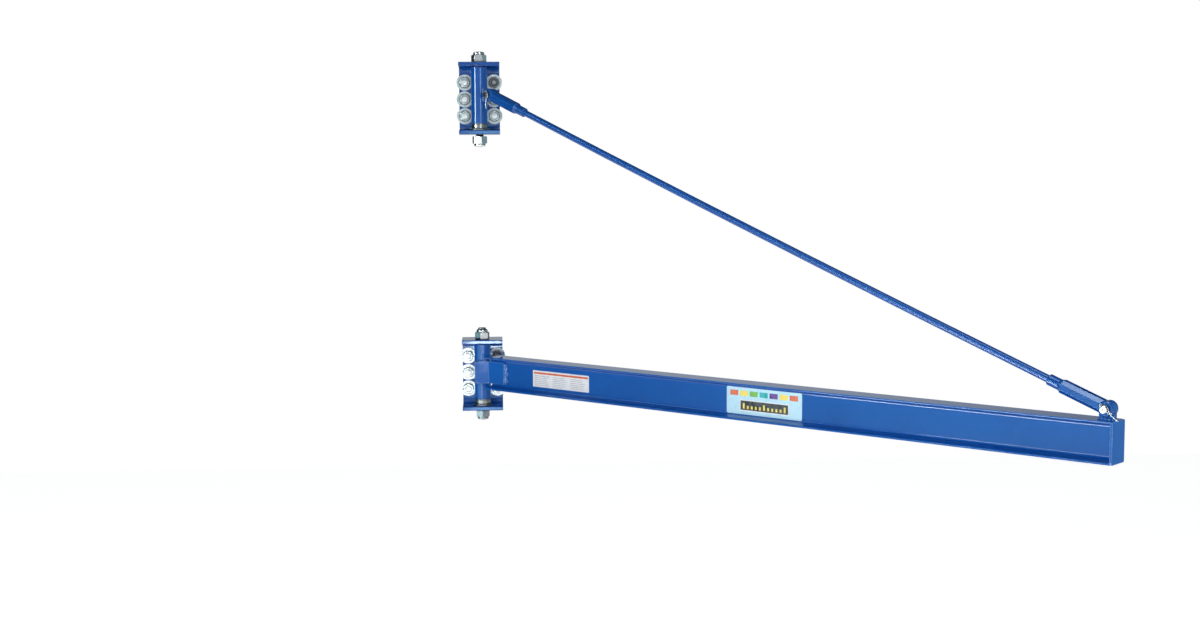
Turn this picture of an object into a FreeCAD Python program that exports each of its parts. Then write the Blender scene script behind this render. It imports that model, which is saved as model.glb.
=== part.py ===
import FreeCAD, Part
import math
import os

# Wall-mounted tie-rod jib crane, in millimetres.
# Origin: middle of the lower bracket's wall face. +Z is up, and the wall fills +Y.
# Jib pieces are built with the beam along +X, then turned to the rest angle about the pivot line.

Vector = FreeCAD.Vector
ORIGIN = Vector(0, 0, 0)
RIGHT = Vector(1, 0, 0)
BACK = Vector(0, 1, 0)
UP = Vector(0, 0, 1)

# A cutter reaches this far past the faces that it cuts, and points this close are the same
overcut = 1.0
same_place = 0.01

# Brackets: two alike channels, one above the other
bracket_width = 127.0
bracket_height = 222.25
bracket_depth = 114.3
bracket_plate = 12.7
bracket_inner_radius = 15.9
bracket_heel_radius = 6.4
bracket_toe_radius = 2.5
bracket_spacing = 863.6

# Wall fasteners: three rows and two columns in each bracket
wall_hole_radius = 9.92
wall_column_spacing = 92.1
wall_row_spacing = 52.4
wall_washer_radius = 25.4
wall_washer_thickness = 3.4
wall_nut_flats = 28.6
wall_nut_height = 16.3
wall_nut_bore_radius = 9.6
wall_nut_turn = 17.0

# Pivot: one long bolt through each bracket, with a lock nut at both ends
pivot_offset = 76.2
pivot_radius = 12.7
pivot_hole_clearance = 0.4
pivot_end_radius = 3.0
pivot_nut_flats = 41.3
pivot_nut_hex_height = 23.0
pivot_nut_collar_height = 9.0
pivot_nut_collar_radius = 17.5
thread_fit = 0.05

# How far the bolt stands out of the nuts, how far the bottom nut hangs, and how the nuts are turned
lower_top_stand = 5.0
upper_top_stand = 0.5
bottom_stand = 1.0
lower_nut_drop = 0.0
upper_nut_drop = 5.6
lower_top_nut_turn = 18.0
lower_bottom_nut_turn = 30.0
upper_top_nut_turn = -6.0
upper_bottom_nut_turn = -17.0

# Thrust stack under each sleeve, and the shim above it
thrust_washer_radius = 30.0
thrust_washer_thickness = 4.8
bearing_radius = 25.0
bearing_height = 15.9
bearing_band_lip = 1.6
bearing_band_recess = 1.5
shim_radius = 24.0
shim_thickness = 1.6
running_gap = 0.3

# Sleeves and their bushings
sleeve_radius = 25.4
sleeve_wall = 8.5
sleeve_edge_chamfer = 1.5
bushing_length = 32.0
bushing_fit = 0.05
bushing_running_fit = 0.06

# Beam: rolled section with tapered flanges
rest_angle = 45.0
beam_depth = 101.6
beam_width = 67.6
beam_web = 4.9
beam_flange_toe = 5.4
beam_flange_slope = 1.0 / 6.0
beam_fillet_radius = 6.9
beam_toe_radius = 3.0
beam_start = 46.0
beam_reach = 2089.0
end_plate_thickness = 6.35
end_plate_corner = 4.0
weld_fit = 0.1

# Wing plates: bent plates that lap the web and cradle the lower sleeve
wing_thickness = 6.35
wing_height = 68.0
wing_bend = 45.0
wing_lap_end = 102.0
wing_tail = 22.0

# Lugs
lug_thickness = 12.7
lug_eye_radius = 19.05
upper_pin_reach = 50.0
upper_lug_root = 44.0
lower_pin_setback = 27.0
lower_pin_height = 25.5

# Clevis pins
pin_radius = 9.5
pin_hole_fit = 0.06
pin_head_radius = 14.0
pin_head_thickness = 6.0
pin_near_stand = 11.0
pin_chamfer = 1.6

# Clevises
clevis_eye_radius = 19.05
clevis_eye_chamfer = 3.0
clevis_half_height = 16.0
clevis_half_width = 17.0
clevis_slot_clearance = 0.8
clevis_slot_length = 98.0
clevis_yoke_length = 121.0
clevis_shoulder = 7.0
clevis_neck_radius = 14.0
clevis_length = 158.0
clevis_bevel = 9.0

# Tie rod: its middle hangs a little below the straight line between the pins
tie_rod_radius = 9.525
tie_rod_sag = 6.5
rod_thread_depth = 36.0

# Heights that follow from the stack in a bracket
half_bracket = bracket_height / 2
half_mouth = half_bracket - bracket_plate
bearing_bottom = -half_mouth + thrust_washer_thickness
bearing_top = bearing_bottom + bearing_height
sleeve_bottom = bearing_top + running_gap
sleeve_top = half_mouth - shim_thickness - running_gap
beam_level = (sleeve_top + sleeve_bottom) / 2
beam_top = beam_level + beam_depth / 2
pivot_hole_radius = pivot_radius + pivot_hole_clearance

upper_pin = Vector(upper_pin_reach, 0, bracket_spacing + beam_level)
lower_pin = Vector(beam_reach - lower_pin_setback, 0, beam_top + lower_pin_height)

parts = {}


# Basic shapes
def outline(items):
    """A closed face. An item is the next corner, or (end, through) for an arc that ends there."""
    ends = [item[0] if isinstance(item, tuple) else item for item in items]
    edges = []
    for index, item in enumerate(items):
        start = ends[index - 1]
        if isinstance(item, tuple):
            edges.append(Part.Arc(start, item[1], item[0]).toShape())
        else:
            edges.append(Part.LineSegment(start, item).toShape())
    return Part.Face(Part.Wire(edges))


def arc_to(end, centre, start):
    """An arc item, the short way round the centre from start to end."""
    middle = (start + end) * 0.5 - centre
    return end, centre + middle.normalize() * start.distanceToPoint(centre)


def cylinder(radius, height, base=ORIGIN, axis=UP):
    return Part.makeCylinder(radius, height, base, axis)


def ring(outer, inner, height):
    return cylinder(outer, height).cut(cylinder(inner, height))


def box(x_range, y_range, z_range):
    """A box from its lower and upper value along each axis."""
    size = [high - low for low, high in (x_range, y_range, z_range)]
    return Part.makeBox(size[0], size[1], size[2], Vector(x_range[0], y_range[0], z_range[0]))


def turned(profile, axis=UP):
    """A body turned about an axis through the origin, from (radius, distance along it) corners."""
    across = RIGHT if axis == UP else UP
    return outline([across * radius + axis * along for radius, along in profile]).revolve(ORIGIN, axis, 360)


def fuse(first, second):
    return first.fuse(second).removeSplitter()


def mirrored(shape, normal):
    return shape.mirror(ORIGIN, normal)


def round_along_x(body, radius, places):
    """Round the edges along X that lie at the given (y, z) places."""
    chosen = []
    for edge in body.Edges:
        start, end = [vertex.Point for vertex in edge.Vertexes]
        along_x = math.hypot(end.y - start.y, end.z - start.z) < same_place
        if along_x and any(math.hypot(start.y - y, start.z - z) < same_place for y, z in places):
            chosen.append(edge)
    return body.makeFillet(radius, chosen)


def hex_nut(flats, height, bore, chamfer_foot=True):
    """A hexagon about +Z from z = 0, with its corners turned off in a cone at the ends."""
    corner = flats / math.sqrt(3)
    points = []
    for step in range(6):
        angle = math.radians(60 * step)
        points.append(Vector(corner * math.cos(angle), corner * math.sin(angle), 0))
    prism = outline(points).extrude(UP * height)
    rise = (corner - flats / 2) / math.sqrt(3)
    foot = [(flats / 2, 0), (corner, rise)] if chamfer_foot else [(corner, 0)]
    cone = turned([(0, 0)] + foot + [(corner, height - rise), (flats / 2, height), (0, height)])
    return prism.common(cone).cut(cylinder(bore, height))


def at_pivot(shape, level):
    """Move a piece built about the Z axis to the pivot line, at a height."""
    shape.translate(Vector(0, -pivot_offset, level))
    return shape


def hang(shape):
    """Move a jib piece from the frame of its beam to the pivot line, at the rest angle."""
    shape.rotate(ORIGIN, UP, -rest_angle)
    return at_pivot(shape, 0)


# Brackets and their wall fasteners
def wall_hole_centres(level):
    centres = []
    for column in (-0.5, 0.5):
        for row in (1, 0, -1):
            centres.append(Vector(column * wall_column_spacing, 0, level + row * wall_row_spacing))
    return centres


def bracket(level):
    """A channel open towards the room, with rounded corners, wall holes and pivot holes."""
    half_width = bracket_width / 2
    block = box((-half_width, half_width), (-bracket_depth, 0), (-half_bracket, half_bracket))
    mouth = box((-half_width, half_width), (-bracket_depth, -bracket_plate), (-half_mouth, half_mouth))
    inner_corners = [(-bracket_plate, half_mouth), (-bracket_plate, -half_mouth)]
    heels = [(0, half_bracket), (0, -half_bracket)]
    toes = [(-bracket_depth, z) for z in (half_bracket, half_mouth, -half_mouth, -half_bracket)]
    body = round_along_x(block.cut(mouth), bracket_inner_radius, inner_corners)
    body = round_along_x(body, bracket_heel_radius, heels)
    body = round_along_x(body, bracket_toe_radius, toes)
    cutters = [at_pivot(cylinder(pivot_hole_radius, bracket_height + 2 * overcut), -half_bracket - overcut)]
    hole_length = bracket_plate + 2 * overcut
    for centre in wall_hole_centres(0):
        cutters.append(cylinder(wall_hole_radius, hole_length, centre + BACK * overcut, -BACK))
    body = body.cut(cutters)
    body.translate(UP * level)
    return body


def on_plate(shape, centre, lift):
    """Stand a piece built about +Z on the bracket's plate at a hole, pointing into the room."""
    shape.rotate(ORIGIN, RIGHT, 90)
    shape.translate(centre - BACK * lift)
    return shape


def wall_washers(level):
    washers = []
    for centre in wall_hole_centres(level):
        washer = ring(wall_washer_radius, wall_hole_radius, wall_washer_thickness)
        washers.append(on_plate(washer, centre, bracket_plate))
    return Part.makeCompound(washers)


def wall_nuts(level):
    nuts = []
    for index, centre in enumerate(wall_hole_centres(level)):
        nut = hex_nut(wall_nut_flats, wall_nut_height, wall_nut_bore_radius, chamfer_foot=False)
        nut.rotate(ORIGIN, UP, wall_nut_turn * index)
        nuts.append(on_plate(nut, centre, bracket_plate + wall_washer_thickness))
    return Part.makeCompound(nuts)


# Pivot bolts, lock nuts and the thrust stack
def pivot_nut(turn):
    """A lock nut about +Z from z = 0: a hexagon below a narrower collar with a rounded rim."""
    bore = pivot_radius + thread_fit
    height = pivot_nut_hex_height + pivot_nut_collar_height
    rim = pivot_nut_collar_height / 2
    foot = pivot_nut_hex_height - overcut
    side_top = Vector(pivot_nut_collar_radius, 0, height - rim)
    rim_centre = side_top - RIGHT * rim
    collar = outline([
        Vector(bore, 0, foot),
        Vector(pivot_nut_collar_radius, 0, foot),
        side_top,
        arc_to(rim_centre + UP * rim, rim_centre, side_top),
        Vector(bore, 0, height),
    ])
    nut = fuse(hex_nut(pivot_nut_flats, pivot_nut_hex_height, bore), collar.revolve(ORIGIN, UP, 360))
    nut.rotate(ORIGIN, UP, turn)
    return nut


def pivot_bolt(top_stand, drop):
    """The bolt as a bar with rounded ends that stand out of both nuts."""
    nut_height = pivot_nut_hex_height + pivot_nut_collar_height
    bottom = -half_bracket - drop - nut_height - bottom_stand
    top = half_bracket + nut_height + top_stand
    bar = cylinder(pivot_radius, top - bottom, UP * bottom)
    rims = [edge for edge in bar.Edges if edge.Closed]
    return bar.makeFillet(pivot_end_radius, rims)


def thrust_bearing():
    """A ball thrust bearing in a pressed steel band that stands proud of both races."""
    waist = bearing_radius - bearing_band_recess
    band_bottom = bearing_bottom + bearing_band_lip
    band_top = bearing_top - 2 * bearing_band_lip
    return turned([(pivot_hole_radius, bearing_bottom), (waist, bearing_bottom),
                   (bearing_radius, band_bottom), (bearing_radius, band_top), (waist, band_top),
                   (waist, bearing_top), (pivot_hole_radius, bearing_top)])


def bracket_set(name, level, top_stand, drop, top_turn, bottom_turn):
    parts[name + "_bracket"] = bracket(level)
    parts[name + "_wall_washers"] = wall_washers(level)
    parts[name + "_wall_nuts"] = wall_nuts(level)
    parts[name + "_pivot_bolt"] = at_pivot(pivot_bolt(top_stand, drop), level)
    parts[name + "_pivot_top_nut"] = at_pivot(pivot_nut(top_turn), level + half_bracket)
    bottom_nut = mirrored(pivot_nut(bottom_turn), UP)
    parts[name + "_pivot_bottom_nut"] = at_pivot(bottom_nut, level - half_bracket - drop)
    thrust_washer = ring(thrust_washer_radius, pivot_hole_radius, thrust_washer_thickness)
    parts[name + "_thrust_washer"] = at_pivot(thrust_washer, level - half_mouth)
    parts[name + "_thrust_bearing"] = at_pivot(thrust_bearing(), level)
    shim = ring(shim_radius, pivot_hole_radius, shim_thickness)
    parts[name + "_top_shim"] = at_pivot(shim, level + half_mouth - shim_thickness)


# Sleeves and bushings
def sleeve():
    bore = sleeve_radius - sleeve_wall
    edge = sleeve_edge_chamfer
    return turned([(bore, sleeve_bottom), (sleeve_radius - edge, sleeve_bottom),
                   (sleeve_radius, sleeve_bottom + edge), (sleeve_radius, sleeve_top - edge),
                   (sleeve_radius - edge, sleeve_top), (bore, sleeve_top)])


def bushing():
    return ring(sleeve_radius - sleeve_wall - bushing_fit, pivot_radius + bushing_running_fit, bushing_length)


def sleeve_set(name, level):
    pieces = {"_sleeve": (sleeve(), 0), "_bottom_bushing": (bushing(), sleeve_bottom),
              "_top_bushing": (bushing(), sleeve_top - bushing_length)}
    for ending, (piece, height) in pieces.items():
        piece.translate(UP * (level + height))
        parts[name + ending] = hang(piece)


# Beam, end plate and wing plates
def beam_quarter():
    """A quarter of the rolled section: tapered flange, root fillet and rounded toe."""
    half_depth = beam_depth / 2
    half_width = beam_width / 2
    half_web = beam_web / 2
    slope_angle = math.atan(beam_flange_slope)
    tangent_share = math.tan((math.pi / 2 - slope_angle) / 2)
    fillet_back = beam_fillet_radius * tangent_share
    toe_back = beam_toe_radius * tangent_share
    outward = BACK * math.cos(slope_angle) + UP * math.sin(slope_angle)
    root = Vector(0, half_web, half_depth - beam_flange_toe - (half_width - half_web) * beam_flange_slope)
    tip = Vector(0, half_width, half_depth - beam_flange_toe)
    fillet_start = root - UP * fillet_back
    fillet_end = root + outward * fillet_back
    toe_start = tip - outward * toe_back
    toe_end = tip + UP * toe_back
    face = outline([
        ORIGIN,
        BACK * half_web,
        fillet_start,
        arc_to(fillet_end, fillet_start + BACK * beam_fillet_radius, fillet_start),
        toe_start,
        arc_to(toe_end, toe_end - BACK * beam_toe_radius, toe_start),
        Vector(0, half_width, half_depth),
        UP * half_depth,
    ])
    return face.extrude(RIGHT * (beam_reach - end_plate_thickness - beam_start))


def beam():
    quarter = beam_quarter()
    half = fuse(quarter, mirrored(quarter, UP))
    body = fuse(half, mirrored(half, BACK))
    body.translate(Vector(beam_start, 0, beam_level))
    return body


def end_plate():
    half_width = beam_width / 2
    beam_bottom = beam_top - beam_depth
    plate = box((beam_reach - end_plate_thickness, beam_reach), (-half_width, half_width),
                (beam_bottom, beam_top))
    corners = [(y, z) for y in (-half_width, half_width) for z in (beam_bottom, beam_top)]
    return round_along_x(plate, end_plate_corner, corners)


def wing_plate():
    """A plate flat on the far side of the web, bent out to a plane tangent to the sleeve."""
    angle = math.radians(wing_bend)
    web_side = beam_web / 2 + weld_fit
    room_side = web_side + wing_thickness
    outward = Vector(math.sin(angle), math.cos(angle), 0)
    along = Vector(-math.cos(angle), math.sin(angle), 0)
    inner = outward * (sleeve_radius + weld_fit)
    outer = outward * (sleeve_radius + weld_fit + wing_thickness)
    profile = outline([
        Vector(wing_lap_end, web_side, 0),
        inner - along * ((inner.y - web_side) / along.y),
        inner + along * wing_tail,
        outer + along * wing_tail,
        outer - along * ((outer.y - room_side) / along.y),
        Vector(wing_lap_end, room_side, 0),
    ])
    plate = profile.extrude(UP * wing_height)
    plate.translate(UP * (beam_level - wing_height / 2))
    return plate


def beam_set():
    parts["beam"] = hang(beam())
    parts["beam_end_plate"] = hang(end_plate())
    parts["near_wing_plate"] = hang(mirrored(wing_plate(), BACK))
    parts["far_wing_plate"] = hang(wing_plate())


# Lugs
def pin_hole(width):
    """A cutter for a pin's hole along Y, through a width about the origin."""
    length = width + 2 * overcut
    return cylinder(pin_radius + pin_hole_fit, length, BACK * (-length / 2), BACK)


def lug(items):
    """A plate of lug thickness about the XZ plane, with a pin's hole at the origin."""
    face = outline(items)
    face.translate(BACK * (-lug_thickness / 2))
    return face.extrude(BACK * lug_thickness).cut(pin_hole(lug_thickness))


def upper_lug():
    """A plate with a round eye, shaped to the sleeve that it is welded to."""
    root = RIGHT * -upper_pin_reach
    half_root = UP * (upper_lug_root / 2)
    eye = UP * lug_eye_radius
    body = lug([root - half_root, root + half_root, eye, (-eye, RIGHT * lug_eye_radius)])
    body = body.cut(cylinder(sleeve_radius + weld_fit, upper_lug_root, root - half_root))
    body.translate(upper_pin)
    return body


def beam_lug():
    """A plate that stands on the beam's top flange, with a full-round top about the pin."""
    foot = UP * -lower_pin_height
    eye = RIGHT * lug_eye_radius
    body = lug([foot - eye, -eye, (eye, UP * lug_eye_radius), foot + eye])
    body.translate(lower_pin)
    return body


# Clevises and their pins
def clevis_yoke():
    """The solid yoke along +X from its pin, with bevels along all four corners."""
    half_width = clevis_half_width
    block = box((0, clevis_yoke_length), (-half_width, half_width), (-clevis_half_height, clevis_half_height))
    reach = half_width + clevis_half_height - clevis_bevel
    end_view = outline([BACK * reach, UP * reach, BACK * -reach, UP * -reach])
    return block.common(end_view.extrude(RIGHT * clevis_yoke_length))


def clevis_eye():
    """The full-round end about the pin, with both rims chamfered."""
    half_width = clevis_half_width
    rim = clevis_eye_radius - clevis_eye_chamfer
    shoulder = half_width - clevis_eye_chamfer
    return turned([(0, -half_width), (rim, -half_width), (clevis_eye_radius, -shoulder),
                   (clevis_eye_radius, shoulder), (rim, half_width), (0, half_width)], BACK)


def clevis_neck():
    """The round neck, from inside the yoke over the shoulder to its chamfered end."""
    root = clevis_yoke_length - clevis_half_height
    shoulder_end = clevis_yoke_length + clevis_shoulder
    return turned([(0, root), (clevis_half_height, root), (clevis_half_height, clevis_yoke_length),
                   (clevis_neck_radius, shoulder_end), (clevis_neck_radius, clevis_length - pin_chamfer),
                   (clevis_neck_radius - pin_chamfer, clevis_length), (0, clevis_length)], RIGHT)


def clevis_slot(half_slot, root):
    """The cutter between the cheeks, with a rounded root."""
    open_end = RIGHT * -2 * clevis_eye_radius
    side = BACK * half_slot
    face = outline([open_end - side, root - side, (root + side, root + RIGHT * half_slot), open_end + side])
    face.translate(UP * -2 * clevis_eye_radius)
    return face.extrude(UP * 4 * clevis_eye_radius)


def clevis():
    half_slot = lug_thickness / 2 + clevis_slot_clearance
    root = RIGHT * (clevis_slot_length - half_slot)
    bore = cylinder(tie_rod_radius + thread_fit, clevis_length + overcut - root.x, root, RIGHT)
    cutters = [clevis_slot(half_slot, root), bore, pin_hole(2 * clevis_half_width)]
    return fuse(fuse(clevis_yoke(), clevis_eye()), clevis_neck()).cut(cutters)


def aimed(shape, pin, target):
    """Put a piece built along +X at a pin, turned in the upright plane towards a target."""
    direction = target - pin
    shape.rotate(ORIGIN, BACK, math.degrees(math.atan2(-direction.z, direction.x)))
    shape.translate(pin)
    return shape


def clevis_pin(pin):
    """A pin along Y, with its head on the far side and its plain end out on the near side."""
    near = -clevis_half_width - pin_near_stand
    far = clevis_half_width
    head = far + pin_head_thickness
    body = turned([(0, near), (pin_radius - pin_chamfer, near), (pin_radius, near + pin_chamfer),
                   (pin_radius, far), (pin_head_radius, far), (pin_head_radius, head - pin_chamfer),
                   (pin_head_radius - pin_chamfer, head), (0, head)], BACK)
    body.translate(pin)
    return body


# Tie rod, and the clevises aimed along it
def tie_set():
    """The sagging rod follows one large circle through both pins and the low middle."""
    middle = (upper_pin + lower_pin) * 0.5 - UP * tie_rod_sag
    arc = Part.Arc(upper_pin, middle, lower_pin).toShape()
    turn = arc.LastParameter - arc.FirstParameter
    rod_end = turn * (clevis_length - rod_thread_depth) / arc.Length
    thread_middle = turn * (clevis_length - rod_thread_depth / 2) / arc.Length
    first = arc.FirstParameter + rod_end
    rim = Part.Circle(arc.valueAt(first), arc.tangentAt(first), tie_rod_radius).toShape()
    rod_turn = math.degrees(turn - 2 * rod_end)
    rod = Part.Face(Part.Wire(rim)).revolve(arc.Curve.Center, arc.Curve.Axis, rod_turn)
    upper_target = arc.valueAt(arc.FirstParameter + thread_middle)
    lower_target = arc.valueAt(arc.LastParameter - thread_middle)
    parts["tie_rod"] = hang(rod)
    parts["upper_clevis"] = hang(aimed(clevis(), upper_pin, upper_target))
    parts["lower_clevis"] = hang(aimed(clevis(), lower_pin, lower_target))
    parts["upper_clevis_pin"] = hang(clevis_pin(upper_pin))
    parts["lower_clevis_pin"] = hang(clevis_pin(lower_pin))


bracket_set("lower", 0, lower_top_stand, lower_nut_drop, lower_top_nut_turn, lower_bottom_nut_turn)
bracket_set("upper", bracket_spacing, upper_top_stand, upper_nut_drop, upper_top_nut_turn,
            upper_bottom_nut_turn)
sleeve_set("lower", 0)
sleeve_set("upper", bracket_spacing)
beam_set()
parts["upper_lug"] = hang(upper_lug())
parts["beam_lug"] = hang(beam_lug())
tie_set()

os.makedirs("parts", exist_ok=True)
for name, shape in parts.items():
    shape.exportStep("parts/" + name + ".step")
    print(name, shape.isValid(), len(shape.Solids), round(shape.Volume))
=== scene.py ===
import math
import random

import bmesh
import bpy
from mathutils import Matrix, Vector, noise


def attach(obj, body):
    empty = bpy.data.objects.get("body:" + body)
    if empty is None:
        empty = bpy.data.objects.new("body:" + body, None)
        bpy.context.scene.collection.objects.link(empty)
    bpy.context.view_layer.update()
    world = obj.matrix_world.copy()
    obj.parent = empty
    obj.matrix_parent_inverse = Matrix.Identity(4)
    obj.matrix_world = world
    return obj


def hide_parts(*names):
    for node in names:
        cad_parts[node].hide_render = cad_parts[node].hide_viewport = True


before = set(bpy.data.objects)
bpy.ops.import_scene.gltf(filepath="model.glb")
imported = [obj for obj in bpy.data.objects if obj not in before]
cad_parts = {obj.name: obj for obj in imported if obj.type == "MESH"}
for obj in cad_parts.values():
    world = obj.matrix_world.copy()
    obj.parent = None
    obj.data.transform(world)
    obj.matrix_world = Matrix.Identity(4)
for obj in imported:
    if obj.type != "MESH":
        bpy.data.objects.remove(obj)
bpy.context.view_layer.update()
scene = bpy.context.scene
rng = random.Random(7)

# Places and sizes repeated from the part's source, in metres, with REST in radians and a flange taper of 1 in 6
PIVOT = Vector((0.0, -0.0762, 0.0))
REST = math.radians(-45.0)
JIB = Matrix.Translation(PIVOT) @ Matrix.Rotation(REST, 4, "Z")
SPACING = 0.8636
LEVEL = 0.00955
HALF_DEPTH = 0.0508
BEAM_TOP = LEVEL + HALF_DEPTH
WEB = 0.00245
REACH = 2.089
SLEEVE_R = 0.0254
UPPER_PIN = Vector((0.050, 0.0, SPACING + LEVEL))
LOWER_PIN = Vector((REACH - 0.027, 0.0, BEAM_TOP + 0.0255))
BRACKETS = {"lower": 0.0, "upper": SPACING}
HALF_BRACKET = 0.111125
COLUMNS = (-0.04605, 0.04605)
ROWS = (0.0524, 0.0, -0.0524)
FLANGE_HALF_WIDTH = 0.0338
FLANGE_TOE = 0.0054
FLANGE_TAPER = 6
ROOT_FILLET = 0.0069
END_PLATE = 0.00635
LUG_HALF_WIDTH = 0.01905
LUG_HALF_THICKNESS = 0.00635
LAP_EDGE = 0.102


# Materials
def new_material(name):
    mat = bpy.data.materials.new(name)
    mat.use_nodes = True
    nodes = mat.node_tree.nodes
    nodes.clear()
    out = nodes.new("ShaderNodeOutputMaterial")
    shader = nodes.new("ShaderNodeBsdfPrincipled")
    mat.node_tree.links.new(shader.outputs[0], out.inputs[0])
    return mat, shader


class Tree:
    """Short calls for adding nodes to the tree of a material or of the world."""

    def __init__(self, tree, coords=None):
        self.tree = tree
        self.coords = self.add("ShaderNodeTexCoord").outputs[coords] if coords else None

    def add(self, kind, **values):
        node = self.tree.nodes.new(kind)
        for key, value in values.items():
            setattr(node, key, value)
        return node

    def link(self, a, b):
        self.tree.links.new(a, b)

    def feed(self, sockets, values):
        """Link each socket, or write a colour or a number to it."""
        for socket, value in zip(sockets, values):
            if isinstance(value, bpy.types.NodeSocket):
                self.link(value, socket)
            else:
                socket.default_value = (*value, 1.0) if isinstance(value, tuple) else value

    def noise(self, scale, detail=3.0, rough=0.5, stretch=(1, 1, 1), distortion=0.0):
        mapping = self.add("ShaderNodeMapping")
        mapping.inputs["Scale"].default_value = stretch
        self.link(self.coords, mapping.inputs[0])
        node = self.add("ShaderNodeTexNoise")
        node.inputs["Scale"].default_value = scale
        node.inputs["Detail"].default_value = detail
        node.inputs["Roughness"].default_value = rough
        node.inputs["Distortion"].default_value = distortion
        self.link(mapping.outputs[0], node.inputs["Vector"])
        return node.outputs[0]

    def ramp(self, value, stops):
        node = self.add("ShaderNodeValToRGB")
        ramp = node.color_ramp
        while len(ramp.elements) < len(stops):
            ramp.elements.new(0.5)
        for element, (place, colour) in zip(ramp.elements, stops):
            element.position = place
            element.color = (*colour, 1.0) if isinstance(colour, tuple) else (colour, colour, colour, 1.0)
        self.link(value, node.inputs[0])
        return node.outputs[0]

    def mix(self, amount, a, b):
        node = self.add("ShaderNodeMix", data_type="RGBA")
        self.feed((node.inputs[0], node.inputs[6], node.inputs[7]), (amount, a, b))
        return node.outputs[2]

    def math(self, operation, a, b):
        node = self.add("ShaderNodeMath", operation=operation)
        self.feed(node.inputs, (a, b))
        return node.outputs[0]

    def edges(self, radius):
        """Close to 1 on edges, from how far a rounded normal leans from the real one."""
        rounded = self.add("ShaderNodeBevel", samples=4)
        rounded.inputs["Radius"].default_value = radius
        plain = self.add("ShaderNodeNewGeometry")
        dot = self.add("ShaderNodeVectorMath", operation="DOT_PRODUCT")
        self.link(rounded.outputs[0], dot.inputs[0])
        self.link(plain.outputs["Normal"], dot.inputs[1])
        return self.math("SUBTRACT", 1.0, dot.outputs["Value"])

    def bump(self, height, strength, distance, normal=None):
        node = self.add("ShaderNodeBump")
        node.inputs["Strength"].default_value = strength
        node.inputs["Distance"].default_value = distance
        self.link(height, node.inputs["Height"])
        if normal is not None:
            self.link(normal, node.inputs["Normal"])
        return node.outputs[0]

    def rounded(self, radius):
        node = self.add("ShaderNodeBevel", samples=6)
        node.inputs["Radius"].default_value = radius
        return node.outputs[0]


def paint(name, deep, light, edge, roughness=0.06, bevel=0.0009, ior=1.48, peel_strength=0.045, glint_amount=0.0):
    """Gloss enamel: a slow drift of colour, a painted highlight along the edges broken up by wear, painted glints
    when asked for, orange peel, dust and fine scratches.
    """
    mat, shader = new_material(name)
    t = Tree(mat.node_tree, "Object")
    drift = t.ramp(t.noise(3.1, 4, 0.55), [(0.3, 0.0), (0.7, 1.0)])
    colour = t.mix(drift, deep, light)
    cloud = t.ramp(t.noise(38.0, 5, 0.6), [(0.42, 0.0), (0.75, 1.0)])
    colour = t.mix(t.math("MULTIPLY", cloud, 0.18), colour, tuple(min(1.0, c * 1.35 + 0.002) for c in light))
    dust = t.ramp(t.noise(420.0, 2, 0.7), [(0.68, 0.0), (0.76, 1.0)])
    colour = t.mix(t.math("MULTIPLY", dust, 0.16), colour, (0.12, 0.20, 0.36))
    # Painted glints: small light flecks that stand in for sparkle on the weld beads
    if glint_amount:
        painted_glint = t.ramp(t.noise(230.0, 3, 0.7), [(0.55, 0.0), (0.66, 1.0)])
        colour = t.mix(t.math("MULTIPLY", painted_glint, glint_amount), colour, (0.50, 0.68, 0.92))
    # Painted highlight: a lighter colour laid along the edges, broken up in patches by wear
    rim = t.ramp(t.edges(bevel * 1.6), [(0.04, 0.0), (0.22, 1.0)])
    edge_wear_and_highlight = t.ramp(t.noise(60.0, 4, 0.65), [(0.30, 0.15), (0.70, 1.0)])
    colour = t.mix(t.math("MULTIPLY", t.math("MULTIPLY", rim, edge_wear_and_highlight), 0.75), colour, edge)
    t.link(colour, shader.inputs["Base Color"])
    rough = t.ramp(t.noise(22.0, 4, 0.6), [(0.25, roughness * 0.7), (0.8, roughness * 1.7)])
    t.link(rough, shader.inputs["Roughness"])
    peel = t.bump(t.noise(210.0, 3, 0.5), peel_strength, 0.0004, t.rounded(bevel))
    scratch = t.noise(900.0, 2, 0.6, stretch=(0.05, 0.05, 1.0))
    t.link(t.bump(scratch, min(0.03, peel_strength), 0.0002, peel), shader.inputs["Normal"])
    shader.inputs["IOR"].default_value = ior
    return mat


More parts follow.
